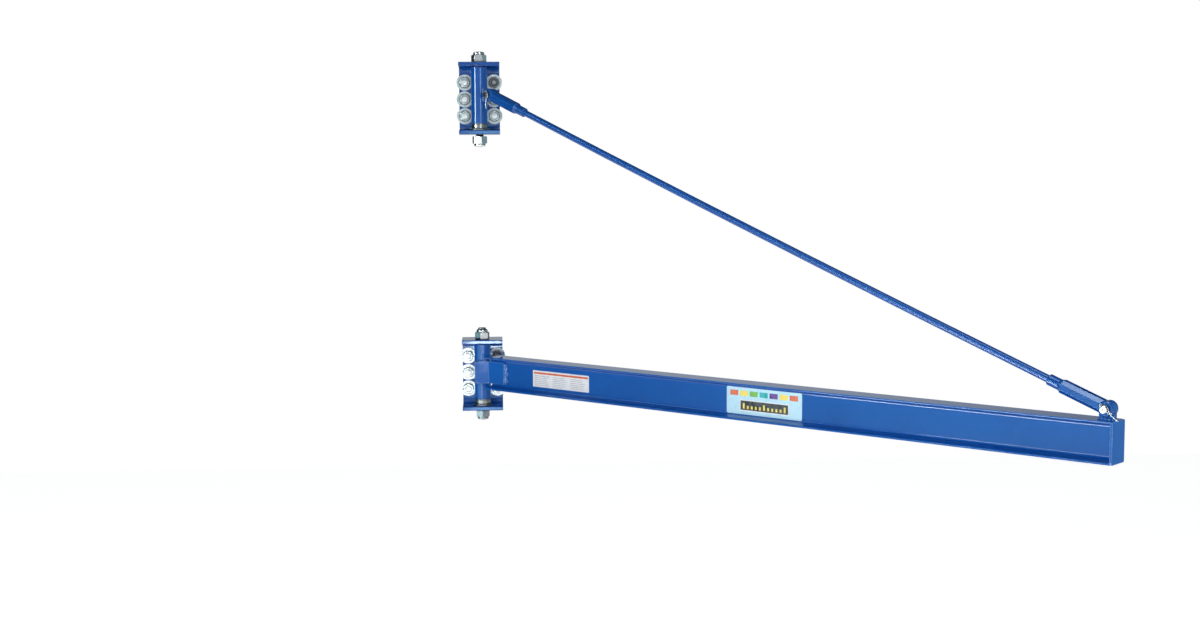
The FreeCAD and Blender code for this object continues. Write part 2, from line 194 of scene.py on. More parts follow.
def plated(name, colour, dull, roughness=0.28, stain_and_shade=(0.20, 0.19, 0.18), bevel=0.0005, bump=0.2, patches=(),
           edge_tint_and_shade_colour=(0.92, 0.92, 0.91)):
    """Zinc plate on turned or forged steel: soft spangle, dull patches, dark grains, a tint on the edges that is a
    dark painted shade on the wall washers and nuts, and painted shade in corners and gaps.
    """
    mat, shader = new_material(name)
    t = Tree(mat.node_tree, "Object")
    spangle = t.ramp(t.noise(240.0, 4, 0.6), [(0.3, 0.0), (0.72, 1.0)])
    base = t.mix(spangle, dull, colour)
    dirt = t.ramp(t.noise(110.0, 6, 0.7, distortion=0.4), [(0.56, 0.0), (0.80, 1.0)])
    base = t.mix(t.math("MULTIPLY", dirt, 0.40), base, stain_and_shade)
    for centre, radius, tint in patches:
        offset = t.add("ShaderNodeVectorMath", operation="DISTANCE")
        t.link(t.coords, offset.inputs[0])
        offset.inputs[1].default_value = centre
        near = t.ramp(t.math("DIVIDE", offset.outputs["Value"], radius), [(0.92, 1.0), (1.0, 0.0)])
        base = t.mix(near, base, t.mix(dirt, tint, tuple(c * 0.4 for c in tint)))
    # Edges take the rim colour: a light tint by default, and a dark painted shade on the wall washers and nuts
    rim = t.ramp(t.edges(bevel * 2), [(0.05, 0.0), (0.25, 1.0)])
    base = t.mix(t.math("MULTIPLY", rim, 0.5), base, edge_tint_and_shade_colour)
    # Painted shade: the colour darkens where nearby surfaces close in, at corners and at the gaps between nuts,
    # washers and brackets
    painted_corner_shade = t.add("ShaderNodeAmbientOcclusion", samples=8)
    painted_corner_shade.inputs["Distance"].default_value = 0.009
    base = t.mix(t.ramp(painted_corner_shade.outputs["AO"], [(0.56, 1.0), (0.90, 0.0)]), base, tuple(c * 0.45 for c in stain_and_shade))
    t.link(base, shader.inputs["Base Color"])
    shader.inputs["Metallic"].default_value = 1.0
    rough = t.ramp(t.noise(160.0, 4, 0.6), [(0.25, roughness * 0.7), (0.8, roughness * 1.6)])
    t.link(rough, shader.inputs["Roughness"])
    t.link(t.bump(t.noise(480.0, 3, 0.6), bump, 0.0003, t.rounded(bevel)), shader.inputs["Normal"])
    return mat


def vinyl(name, colour, shade):
    """Printed label film: a faint mottle, a soft sheen and small creases."""
    mat, shader = new_material(name)
    t = Tree(mat.node_tree, "Object")
    mottle = t.ramp(t.noise(160.0, 4, 0.6), [(0.35, 0.0), (0.75, 1.0)])
    t.link(t.mix(t.math("MULTIPLY", mottle, 0.5), colour, shade), shader.inputs["Base Color"])
    t.link(t.ramp(t.noise(60.0, 3, 0.5), [(0.3, 0.22), (0.7, 0.38)]), shader.inputs["Roughness"])
    t.link(t.bump(t.noise(90.0, 3, 0.5), 0.06, 0.0003), shader.inputs["Normal"])
    return mat


# Lighter blue laid along the edges of the enamel as a painted highlight
PAINTED_EDGE_HIGHLIGHT = (0.16, 0.36, 0.74)
BLUE = paint("gloss_blue_enamel", (0.003, 0.075, 0.350), (0.006, 0.100, 0.420), PAINTED_EDGE_HIGHLIGHT)
# A lighter copy of the blue enamel for the end plate and the wing plates: painted light, with a brighter painted
# highlight on the edges
BLUE_END_PAINTED_LIT = paint("gloss_blue_end_plate_painted_lit", (0.004, 0.092, 0.405), (0.008, 0.119, 0.478), (0.34, 0.56, 0.90),
                 bevel=0.0024)
# A darker, slightly violet copy of the blue enamel for the brackets: painted shade
BLUE_BRACKET_PAINTED_SHADE = paint("gloss_blue_bracket_painted_shade", (0.005, 0.062, 0.290), (0.009, 0.086, 0.365), PAINTED_EDGE_HIGHLIGHT, bevel=0.0014,
                     peel_strength=0.006)
BLUE_ROD = paint("gloss_blue_rod", (0.003, 0.074, 0.340), (0.006, 0.094, 0.400), PAINTED_EDGE_HIGHLIGHT, 0.13, 0.0014,
                 peel_strength=0.008)
BLUE_BAR = paint("gloss_blue_bar", (0.003, 0.074, 0.340), (0.006, 0.094, 0.400), PAINTED_EDGE_HIGHLIGHT, 0.22, 0.0001,
                 peel_strength=0.003)
# Weld paint with painted glints and a brighter painted highlight on its edges
BLUE_WELD = paint("gloss_blue_weld", (0.006, 0.080, 0.350), (0.014, 0.130, 0.460), (0.30, 0.50, 0.85), 0.08, 0.0004,
                  peel_strength=0.2, glint_amount=0.9)
# Lit and shaded copies of one zinc: the lower wall washers and nuts are painted brighter, as if lit, and the upper
# ones darker, as if shaded
LIT_ZINC, LIT_ZINC_DULL, LIT_ZINC_STAIN = (0.90, 0.90, 0.90), (0.80, 0.80, 0.81), (0.48, 0.47, 0.46)
SHADED_ZINC, SHADED_ZINC_DULL, SHADED_ZINC_STAIN = (0.64, 0.68, 0.70), (0.54, 0.58, 0.60), (0.22, 0.24, 0.25)
# The nut and washer at the upper right are painted darker than the others
ODD = (0.04605, -0.0243, 0.0524)
ODD_RADIUS = 0.026
# Dark edge colour for the wall washers and nuts: painted shade along their edges
PAINTED_EDGE_SHADE = (0.22, 0.21, 0.20)
ZINC_LOWER_LIT = plated("painted_lit_zinc_lower", LIT_ZINC, LIT_ZINC_DULL, 0.26, LIT_ZINC_STAIN, 0.0009, edge_tint_and_shade_colour=PAINTED_EDGE_SHADE)
ZINC_UPPER_SHADED = plated("painted_shade_zinc_upper", SHADED_ZINC, SHADED_ZINC_DULL, 0.28, SHADED_ZINC_STAIN, 0.0009, edge_tint_and_shade_colour=PAINTED_EDGE_SHADE)
NUTS_LOWER_LIT = plated("painted_lit_zinc_nuts_lower", LIT_ZINC, LIT_ZINC_DULL, 0.24, LIT_ZINC_STAIN, 0.0009, edge_tint_and_shade_colour=PAINTED_EDGE_SHADE,
                    patches=[(ODD, ODD_RADIUS, (0.16, 0.16, 0.17))])
NUTS_UPPER_SHADED = plated("painted_shade_zinc_nuts_upper", SHADED_ZINC, SHADED_ZINC_DULL, 0.26, SHADED_ZINC_STAIN, 0.0009, edge_tint_and_shade_colour=PAINTED_EDGE_SHADE,
                    patches=[(tuple(Vector(ODD) + Vector((0, 0, SPACING))), ODD_RADIUS, (0.13, 0.13, 0.14))])
BOLT_END = plated("wall_bolt_end", (0.88, 0.87, 0.84), (0.74, 0.73, 0.70), 0.30, (0.40, 0.37, 0.32))
ZINC_NUT = plated("zinc_lock_nut", (0.74, 0.74, 0.75), (0.56, 0.56, 0.57), 0.14, (0.12, 0.12, 0.12))
ZINC_GREY = plated("zinc_grey_nut", (0.33, 0.355, 0.37), (0.23, 0.255, 0.27), 0.26, (0.10, 0.10, 0.10))
# The middle of the lower pin's end is brown
PIN_FACE = tuple(JIB @ (LOWER_PIN + Vector((0, -0.028, 0))))
ZINC_PIN = plated("zinc_pin", (0.78, 0.78, 0.77), (0.62, 0.62, 0.62), 0.24, (0.30, 0.28, 0.26),
                  patches=[(PIN_FACE, 0.0042, (0.34, 0.28, 0.23))])
# A dark copy of the pin's zinc for the upper pin: painted shade and a painted dark reflection
ZINC_PIN_PAINTED_SHADE = plated("zinc_pin_painted_shade", (0.16, 0.16, 0.17), (0.09, 0.09, 0.10), 0.30, (0.04, 0.04, 0.04))
ZINC_DARK = plated("dull_zinc", (0.50, 0.50, 0.52), (0.34, 0.34, 0.36), 0.34, (0.10, 0.09, 0.09))
STEEL = plated("bearing_band", (0.38, 0.37, 0.36), (0.24, 0.23, 0.22), 0.18, (0.06, 0.05, 0.05))
BRONZE = plated("sintered_bronze", (0.56, 0.36, 0.16), (0.40, 0.25, 0.11), 0.36, (0.16, 0.10, 0.05))
THREAD = plated("thread_zinc", (0.46, 0.46, 0.47), (0.30, 0.30, 0.31), 0.28, (0.06, 0.06, 0.06))
WIRE = plated("clip_wire", (0.70, 0.67, 0.62), (0.58, 0.55, 0.51), 0.26, (0.40, 0.38, 0.35), 0.0002, 0.05)


def dress(node, material):
    """Give a CAD node one material."""
    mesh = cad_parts[node].data
    mesh.materials.clear()
    mesh.materials.append(material)


for end in BRACKETS:
    zinc = ZINC_LOWER_LIT if end == "lower" else ZINC_UPPER_SHADED
    dress(end + "_bracket", BLUE_BRACKET_PAINTED_SHADE)
    dress(end + "_wall_washers", zinc)
    dress(end + "_wall_nuts", NUTS_LOWER_LIT if end == "lower" else NUTS_UPPER_SHADED)
    dress(end + "_pivot_bolt", THREAD)
    dress(end + "_pivot_top_nut", ZINC_NUT)
    dress(end + "_pivot_bottom_nut", ZINC_NUT if end == "upper" else ZINC_GREY)
    dress(end + "_thrust_washer", ZINC_DARK)
    dress(end + "_thrust_bearing", STEEL)
    dress(end + "_top_shim", ZINC_DARK)
    dress(end + "_sleeve", BLUE)
    dress(end + "_bottom_bushing", BRONZE)
    dress(end + "_top_bushing", BRONZE)
    dress(end + "_clevis", BLUE_ROD)
for node in ("beam", "upper_lug", "beam_lug"):
    dress(node, BLUE)
for node in ("beam_end_plate", "near_wing_plate", "far_wing_plate"):
    dress(node, BLUE_END_PAINTED_LIT)
dress("tie_rod", BLUE_BAR)
dress("lower_clevis_pin", ZINC_PIN)
dress("upper_clevis_pin", ZINC_PIN_PAINTED_SHADE)


# Pieces
def piece(name, verts, faces, body, material, at, smooth=True):
    """A mesh piece that rides on a body. The matrix takes its points to the row frame."""
    mesh = bpy.data.meshes.new(name)
    mesh.from_pydata([tuple(v) for v in verts], [], faces)
    tidy = bmesh.new()
    tidy.from_mesh(mesh)
    bmesh.ops.recalc_face_normals(tidy, faces=tidy.faces)
    tidy.to_mesh(mesh)
    tidy.free()
    mesh.transform(at)
    for polygon in mesh.polygons:
        polygon.use_smooth = smooth
    mesh.materials.append(material)
    obj = bpy.data.objects.new(name, mesh)
    scene.collection.objects.link(obj)
    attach(obj, body)
    return obj


def closed_shell(count, around):
    """Faces for rings of points: quads between the rings and a lid on the first and on the last one."""
    faces = []
    for ring in range(count - 1):
        for step in range(around):
            a = ring * around + step
            b = ring * around + (step + 1) % around
            faces.append((a, b, b + around, a + around))
    last = (count - 1) * around
    faces.append(tuple(reversed(range(around))))
    faces.append(tuple(range(last, last + around)))
    return faces


def threaded_bar(radius, low, high, bands, pitch, depth, crown, around):
    """A bar along Z with rounded ends and real threads in the given bands. A thread fades out inside the bar."""
    per_turn, fade, crown_steps, flank = 10, 0.8, 5, 2.6
    heights = [low + crown, high - crown]
    for start, stop in bands:
        steps = max(2, int((stop - start) / pitch * per_turn))
        heights += [start + (stop - start) * k / steps for k in range(steps + 1)]
    heights = sorted(set(round(h, 6) for h in heights if low + crown <= h <= high - crown))
    rings = []
    for k in range(crown_steps):
        a = math.pi / 2 * k / crown_steps
        rings.append((radius - crown + crown * math.sin(a), low + crown - crown * math.cos(a), 0.0))
    for h in heights:
        cut = 0.0
        for start, stop in bands:
            if start <= h <= stop:
                cut = min(1.0, (h - start) / pitch * fade if start > low + 2 * crown else 1.0,
                          (stop - h) / pitch * fade if stop < high - 2 * crown else 1.0)
        rings.append((radius, h, max(0.0, cut)))
    for k in range(crown_steps - 1, -1, -1):
        a = math.pi / 2 * k / crown_steps
        rings.append((radius - crown + crown * math.sin(a), high - crown + crown * math.cos(a), 0.0))
    verts = []
    for r, h, cut in rings:
        for step in range(around):
            angle = 2 * math.pi * step / around
            phase = (h / pitch - step / around) % 1.0
            groove = max(0.0, 1.0 - abs(phase - 0.5) * flank)
            rr = r - depth * cut * groove
            verts.append(Vector((rr * math.cos(angle), rr * math.sin(angle), h)))
    return verts, closed_shell(len(rings), around)


def tube(path, radius, normal):
    """A round wire along a path that lies near one plane."""
    around = 10
    verts = []
    for k, point in enumerate(path):
        ahead = path[min(k + 1, len(path) - 1)] - path[max(k - 1, 0)]
        ahead.normalize()
        side = ahead.cross(normal).normalized()
        out = side.cross(ahead).normalized()
        for step in range(around):
            angle = 2 * math.pi * step / around
            verts.append(point + (side * math.cos(angle) + out * math.sin(angle)) * radius)
    return verts, closed_shell(len(path), around)


def weld(name, path, legs, seed, pitch=0.0024, ripple=0.10):
    """A rippled bead in the corner of two plates.

    An entry of the path is a point of the corner and the two directions that lead away from it on the plates.
    """
    around, sunk = 7, 0.0006
    waves, swelling, slim_end, end_step, belly = 160, 0.16, 0.45, 0.12, 0.22
    verts = []
    travelled = 0.0
    for k, (point, one, two) in enumerate(path):
        travelled += (point - path[k - 1][0]).length if k else 0.0
        wander = noise.noise(Vector((travelled * waves, seed, 0.3)))
        swell = 1.0 + swelling * wander
        taper = min(1.0, slim_end + min(k, len(path) - 1 - k) * end_step)
        verts.append(point - (one + two) * sunk)
        for step in range(around):
            angle = math.pi / 2 * step / (around - 1)
            flat = 1.0 / (math.cos(angle) + math.sin(angle))
            phase = (travelled / pitch + 0.35 * math.sin(2 * angle) + 0.3 * wander) % 1.0
            coin = ripple * (1.0 - phase) * math.sin(2 * angle)
            reach = flat * (1.0 + belly * math.sin(2 * angle) + coin) * swell * taper
            along_one, along_two = legs[0] * reach * math.cos(angle), legs[1] * reach * math.sin(angle)
            verts.append(point + one * along_one + two * along_two)
    piece(name, verts, closed_shell(len(path), around + 1), "jib", BLUE_WELD, at=JIB)


def line(a, b, one, two, step=0.0006):
    """A straight path for a weld."""
    count = max(2, int((b - a).length / step))
    return [(a.lerp(b, k / count), one, two) for k in range(count + 1)]


# Pivot studs, 1 in with 8 threads per inch, threaded from just inside the bracket outwards
STUD_R, STUD_PITCH, STUD_GROOVE, STUD_CROWN = 0.01265, 0.003175, 0.0014, 0.003
# How far a stud stands out below and above its bracket, and how far its threads reach in
STUD_ENDS = {"lower": (0.033, 0.037), "upper": (0.0386, 0.0325)}
STUD_INSIDE = 0.004
for end, level in BRACKETS.items():
    below, above = STUD_ENDS[end]
    bottom, top = -HALF_BRACKET - below, HALF_BRACKET + above
    bands = [(bottom, -HALF_BRACKET + STUD_INSIDE), (HALF_BRACKET - STUD_INSIDE, top)]
    verts, faces = threaded_bar(STUD_R, bottom, top, bands, STUD_PITCH, STUD_GROOVE, STUD_CROWN, 48)
    stud = piece(end + "_pivot_stud", verts, faces, "wall_brackets", THREAD,
                 at=Matrix.Translation(PIVOT + Vector((0, 0, level))))
    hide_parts(end + "_pivot_bolt")

# Ends of the wall bolts in the nuts: five stand out, the upper right one is sunk
ON_WALL = Matrix.Rotation(math.pi / 2, 4, "X")
BOLT_R, BOLT_PITCH, BOLT_GROOVE, BOLT_CROWN = 0.0095, 0.00254, 0.0009, 0.0012
BOLT_START, BOLT_THREAD_START, BOLT_TIP, BOLT_TIP_SPREAD, SUNK_TIP = 0.019, 0.0205, 0.0350, 0.0008, 0.0285
for end, level in BRACKETS.items():
    for column, x in enumerate(COLUMNS):
        for row, z in enumerate(ROWS):
            sunk = column == 1 and row == 0
            tip = SUNK_TIP if sunk else BOLT_TIP + BOLT_TIP_SPREAD * rng.random()
            verts, faces = threaded_bar(BOLT_R, BOLT_START, tip, [(BOLT_THREAD_START, tip)],
                                        BOLT_PITCH, BOLT_GROOVE, BOLT_CROWN, 32)
            turn_about = Matrix.Rotation(rng.random() * 6.28, 4, "Z")
            piece("%s_wall_bolt_end_%d%d" % (end, column + 1, row + 1), verts, faces, "wall_brackets",
                  THREAD if sunk else BOLT_END,
                  at=Matrix.Translation((x, 0, level + z)) @ ON_WALL @ turn_about)

# Weld beads
LAP_WELD_HALF, WING_HALF_HEIGHT, LUG_WELD_HALF, LUG_WELD_GAP = 0.0325, 0.034, 0.0205, 8
SLEEVE_WELD_MIDDLE, SLEEVE_WELD_HALF, SLEEVE_WELD_STEPS = -45, 34, 60
NEAR, FAR, ALONG, UP = Vector((0, -1, 0)), Vector((0, 1, 0)), Vector((1, 0, 0)), Vector((0, 0, 1))
for label, out in (("near", NEAR), ("far", FAR)):
    lap = Vector((LAP_EDGE, 0, 0)) + out * WEB
    low, high = (lap + UP * (LEVEL + rise) for rise in (-LAP_WELD_HALF, LAP_WELD_HALF))
    seed = 3.0 if label == "near" else 8.0
    weld(label + "_lap_weld", line(low, high, ALONG, out), (0.0125, 0.0058), seed, 0.0044, 0.26)
    for edge, sign in (("top", 1), ("bottom", -1)):
        path = []
        for k in range(SLEEVE_WELD_STEPS + 1):
            a = math.radians(SLEEVE_WELD_MIDDLE - SLEEVE_WELD_HALF + 2 * SLEEVE_WELD_HALF * k / SLEEVE_WELD_STEPS)
            around_sleeve = Vector((math.cos(a), math.sin(a) * -out.y, 0))
            place = around_sleeve * SLEEVE_R + UP * (LEVEL + sign * WING_HALF_HEIGHT)
            path.append((place, around_sleeve, UP * sign))
        weld("%s_sleeve_weld_%s" % (label, edge), path, (0.0062, 0.0050), 12.0 + sign + out.y * 3)


def beam_skin(out):
    """Points with normals round one side of the section, from near one flange's toe to near the other's."""
    toe = 0.031
    flange_steps, fillet_steps, web_steps = 27, 13, 100
    points = []
    slope = math.atan(1 / FLANGE_TAPER)
    root = HALF_DEPTH - FLANGE_TOE - (FLANGE_HALF_WIDTH - WEB) / FLANGE_TAPER
    back = ROOT_FILLET * math.tan((math.pi / 2 - slope) / 2)
    for sign in (1, -1):
        side = []
        for k in range(flange_steps + 1):
            w = toe - (toe - WEB - back * math.cos(slope)) * k / flange_steps
            z = root + (w - WEB) / FLANGE_TAPER
            side.append((out * w + UP * (LEVEL + sign * z), out * math.sin(slope) - UP * (sign * math.cos(slope))))
        for k in range(1, fillet_steps):
            a = slope + (math.pi / 2 - slope) * k / fillet_steps
            normal = out * math.sin(a) - UP * (sign * math.cos(a))
            centre = out * (WEB + ROOT_FILLET) + UP * (LEVEL + sign * (root - back))
            side.append((centre - normal * ROOT_FILLET, normal))
        points += side if sign == 1 else side[::-1]
        if sign == 1:
            top_z, low_z = LEVEL + root - back, LEVEL - root + back
            for k in range(web_steps + 1):
                points.append((out * WEB + UP * (top_z + (low_z - top_z) * k / web_steps), out))
    return points


for label, out in (("near", NEAR), ("far", FAR)):
    face = ALONG * (REACH - END_PLATE)
    weld(label + "_end_weld", [(face + point, -ALONG, normal) for point, normal in beam_skin(out)],
         (0.0040, 0.0036), 21.0 + out.y)

corners = [(1, 1), (-1, 1), (-1, -1), (1, -1), (1, 1)]
path = []
for k in range(4):
    here = Vector((corners[k][0] * LUG_HALF_WIDTH, corners[k][1] * LUG_HALF_THICKNESS, 0))
    there = Vector((corners[k + 1][0] * LUG_HALF_WIDTH, corners[k + 1][1] * LUG_HALF_THICKNESS, 0))
    out = Vector((0, here.y, 0)).normalized() if here.y == there.y else Vector((here.x, 0, 0)).normalized()
    foot = Vector((LOWER_PIN.x, 0, BEAM_TOP))
    path += line(foot + here, foot + there, out, UP)
weld("beam_lug_weld", path[:-LUG_WELD_GAP], (0.0042, 0.0046), 31.0)
for label, out in (("near", NEAR), ("far", FAR)):
    lean = math.asin(LUG_HALF_THICKNESS / SLEEVE_R)
    place = ALONG * (SLEEVE_R * math.cos(lean)) + out * LUG_HALF_THICKNESS
    away = -ALONG * math.sin(lean) + out * math.cos(lean)
    low, high = (place + UP * (SPACING + LEVEL + rise) for rise in (-LUG_WELD_HALF, LUG_WELD_HALF))
    weld(label + "_upper_lug_weld", line(low, high, ALONG, away), (0.0045, 0.0045), 41.0 + out.y)


# Hairpin clips through the near ends of the clevis pins
CLIP_OUT = 0.0225


def clip(name, pin, lean):
    """A bent wire clip: a straight leg through the pin, a round eye, and a leg that hugs the pin's outside."""
    wire, pin_radius, eye_radius, eye_place = 0.0011, 0.0095, 0.0024, -0.0112
    hug = pin_radius + wire
    eye_steps, hug_steps = 24, 10
    path = [Vector((u, 0, 0.0)) for u in (0.0425, 0.0300, 0.0150, 0.0, eye_place)]
    for k in range(1, eye_steps + 1):
        a = -math.pi / 2 - 2 * math.pi * k / eye_steps
        path.append(Vector((eye_place + eye_radius * math.cos(a), -eye_radius * k / eye_steps,
                            eye_radius + eye_radius * math.sin(a))))
    for k in range(hug_steps + 1):
        a = math.radians(150 - 118 * k / hug_steps)
        path.append(Vector((hug * math.cos(a), -eye_radius * (1 - k / hug_steps), hug * math.sin(a))))
    path += [Vector((0.0140, 0, 0.0032)), Vector((0.0175, 0, 0.0026)), Vector((0.0215, 0, 0.0048))]
    smooth = []
    for k in range(len(path) - 1):
        a, b = path[max(k - 1, 0)], path[k]
        c, d = path[k + 1], path[min(k + 2, len(path) - 1)]
        for j in range(4):
            t = j / 4
            smooth.append(0.5 * ((2 * b) + (c - a) * t + (2 * a - 5 * b + 4 * c - d) * t * t
                                 + (3 * b - a - 3 * c + d) * t * t * t))
    smooth.append(path[-1])
    verts, faces = tube(smooth, wire, Vector((0, 1, 0)))
    place = Matrix.Translation(pin + NEAR * CLIP_OUT) @ Matrix.Rotation(lean, 4, "Y")
    piece(name, verts, faces, "jib", WIRE, at=JIB @ place)


clip("lower_hairpin_clip", LOWER_PIN, math.radians(35))
clip("upper_hairpin_clip", UPPER_PIN, math.radians(88))


# Labels on the near side of the web
def web_skin(z):
    """How far the web's near face, with its root fillets, stands from the middle."""
    flat = 0.03433
    over = max(z - (LEVEL + flat), (LEVEL - flat) - z, 0.0)
    return WEB + ROOT_FILLET - math.sqrt(ROOT_FILLET ** 2 - over ** 2)


def film(name, s_range, z_range, lift, material, corner=0.0):
    """A thin sheet laid on the web. s runs along the beam from the pivot, and z is up."""
    (s0, s1), (z0, z1) = s_range, z_range
    clear_of_web = 0.00002
    bends = [min(1.0, corner * part / (s1 - s0)) for part in (0.07, 0.3, 1.0)]
    columns = sorted({0.0, 1.0, *bends, *(1.0 - bend for bend in bends)})
    rows = 25
    verts = []
    for top in (1, 0):
        for c in columns:
            s = s0 + (s1 - s0) * c
            inset = 0.0
            near_end = min(s - s0, s1 - s)
            if near_end < corner:
                inset = corner - math.sqrt(max(0.0, corner ** 2 - (corner - near_end) ** 2))
            for r in range(rows):
                z = z0 + inset + (z1 - z0 - 2 * inset) * r / (rows - 1)
                verts.append(Vector((s, -web_skin(z) - lift * top - clear_of_web, z)))
    count = len(columns)
    faces = []
    for layer in (0, 1):
        base = layer * count * rows
        for c in range(count - 1):
            for r in range(rows - 1):
                a = base + c * rows + r
                faces.append((a, a + 1, a + rows + 1, a + rows))
    rim = [c * rows for c in range(count)] + [(count - 1) * rows + r for r in range(1, rows)]
    rim += [c * rows + rows - 1 for c in range(count - 2, -1, -1)] + list(range(rows - 2, 0, -1))
    other = count * rows
    for k, a in enumerate(rim):
        b = rim[(k + 1) % len(rim)]
        faces.append((a, b, b + other, a + other))
    piece(name, verts, faces, "jib", material, at=JIB, smooth=False)


WHITE = vinyl("label_white", (0.84, 0.86, 0.88), (0.74, 0.76, 0.80))
GREY_INK = vinyl("label_grey_ink", (0.34, 0.36, 0.39), (0.46, 0.48, 0.52))
ORANGE = vinyl("label_orange", (0.72, 0.15, 0.05), (0.60, 0.10, 0.03))
PALE = vinyl("label_pale_blue", (0.50, 0.76, 0.88), (0.42, 0.68, 0.82))
BLACK = vinyl("label_black", (0.012, 0.012, 0.014), (0.03, 0.03, 0.03))
YELLOW = vinyl("label_yellow", (0.90, 0.72, 0.10), (0.82, 0.62, 0.07))
TEAL = vinyl("label_teal", (0.02, 0.42, 0.42), (0.02, 0.36, 0.36))
GREEN = vinyl("label_green", (0.18, 0.50, 0.07), (0.14, 0.44, 0.05))
PURPLE = vinyl("label_purple", (0.11, 0.04, 0.24), (0.09, 0.03, 0.20))

# Lifts of the printed layers off the web
SHEET, INK, BAND_INK, PANEL_INK, TICK_INK = 0.00018, 0.00024, 0.00026, 0.00030, 0.00036

# A label of plain rules under an orange band, in three columns of six
film("record_label", (0.2225, 0.4525), (-0.0195, 0.0310), SHEET, WHITE, 0.002)
film("record_label_band", (0.2265, 0.4485), (0.0205, 0.0262), BAND_INK, ORANGE)
RULE_LEFT, RULE_TOP, RULE_COLUMN, RULE_ROW = 0.2300, 0.0150, 0.0742, 0.0056
RULE_LONG, RULE_TALL = 0.0640, 0.0012
for column in range(3):
    left = RULE_LEFT + column * RULE_COLUMN
    for row in range(6):
        z = RULE_TOP - row * RULE_ROW
        wide = RULE_LONG * (0.72 + 0.28 * rng.random())
        name = "record_label_rule_%d%d" % (column + 1, row + 1)
        film(name, (left, left + wide), (z - RULE_TALL, z), INK, GREY_INK)

# A label of ticks on a dark panel under seven blocks of colour
film("load_label", (0.9640, 1.2135), (-0.0285, 0.0455), SHEET, PALE, 0.004)
film("load_label_frame", (1.0080, 1.1720), (-0.0190, 0.0120), INK, WHITE, 0.002)
film("load_label_panel", (1.0110, 1.1690), (-0.0165, 0.0095), PANEL_INK, BLACK)
TICK_LEFT, TICK_PITCH, TICK_WIDE, TICK_FOOT, TICK_LONG, TICK_SHORT = 1.0190, 0.0136, 0.0060, -0.0125, 0.0150, 0.0085
for k in range(11):
    left = TICK_LEFT + k * TICK_PITCH
    tall = TICK_LONG if k % 5 == 0 else TICK_SHORT
    film("load_label_tick_%d" % (k + 1), (left, left + TICK_WIDE), (TICK_FOOT, TICK_FOOT + tall), TICK_INK, YELLOW)
BLOCK_LEFT, BLOCK_PITCH, BLOCK_WIDE, BLOCK_HEIGHTS = 0.9760, 0.0330, 0.0270, (0.0225, 0.0370)
for k, ink in enumerate((ORANGE, YELLOW, GREEN, TEAL, PURPLE, YELLOW, ORANGE)):
    left = BLOCK_LEFT + k * BLOCK_PITCH
    film("load_label_block_%d" % (k + 1), (left, left + BLOCK_WIDE), BLOCK_HEIGHTS, INK, ink)

# Camera, from a perspective fit to the photograph. The angles are in radians
EYE = (0.05395, -5.1573, 0.6471)
YAW, PITCH, ROLL = 0.0626, 0.0930, -0.0055
camera_data = bpy.data.cameras.new("camera")
camera_data.sensor_width = 36.0
camera_data.lens = 48.474
camera = bpy.data.objects.new("camera", camera_data)
scene.collection.objects.link(camera)
forward = Vector((math.sin(YAW) * math.cos(PITCH), math.cos(YAW) * math.cos(PITCH), -math.sin(PITCH)))
right = Vector((math.cos(YAW), -math.sin(YAW), 0.0))
up = right.cross(forward)
right, up = (math.cos(ROLL) * right + math.sin(ROLL) * up, -math.sin(ROLL) * right + math.cos(ROLL) * up)
turn = Matrix((right, up, -forward)).transposed().to_4x4()
camera.matrix_world = Matrix.Translation(EYE) @ turn
camera_data.clip_start, camera_data.clip_end = 0.05, 200.0
scene.camera = camera
scene.view_settings.view_transform = "Standard"


# World: white for the camera, a dim even fill for matt surfaces, and soft glows in a dark room for mirrored rays
world = bpy.data.worlds.new("studio")
scene.world = world
world.use_nodes = True
world.node_tree.nodes.clear()
sky = Tree(world.node_tree, "Generated")
axes = sky.add("ShaderNodeSeparateXYZ")
sky.link(sky.coords, axes.inputs[0])


def span(value, low, high, start, end):
    """A smooth change from start to end as the value goes from low to high."""
    node = sky.add("ShaderNodeMapRange", interpolation_type="SMOOTHSTEP")
    sky.feed([node.inputs[key] for key in ("Value", "From Min", "From Max", "To Min", "To Max")],
             (value, low, high, start, end))
    return node.outputs[0]


def by_height(glow, low, high, start, end):
    """A glow that changes from start to end times its strength between two heights."""
    return sky.math("MULTIPLY", glow, span(axes.outputs["Z"], low, high, start, end))


def lobe(azimuth, elevation, wide, narrow, strength):
    """A soft round glow towards two angles, from the half angle where it starts to the one where it is full."""
    a, e = math.radians(azimuth), math.radians(elevation)
    node = sky.add("ShaderNodeVectorMath", operation="DOT_PRODUCT")
    sky.link(sky.coords, node.inputs[0])
    node.inputs[1].default_value = (math.sin(a) * math.cos(e), -math.cos(a) * math.cos(e), math.sin(e))
    return span(node.outputs["Value"], math.cos(math.radians(wide)), math.cos(math.radians(narrow)), 0.0, strength)


def shade(colour, strength):
    """Light of one colour."""
    node = sky.add("ShaderNodeBackground")
    sky.feed(node.inputs, (colour, strength))
    return node.outputs[0]


def blend(amount, a, b):
    """The second light where the amount is 1, and the first where it is 0."""
    node = sky.add("ShaderNodeMixShader")
    sky.feed(node.inputs, (amount, a, b))
    return node.outputs[0]


def both(a, b):
    """The sum of two lights."""
    node = sky.add("ShaderNodeAddShader")
    sky.feed(node.inputs, (a, b))
    return node.outputs[0]


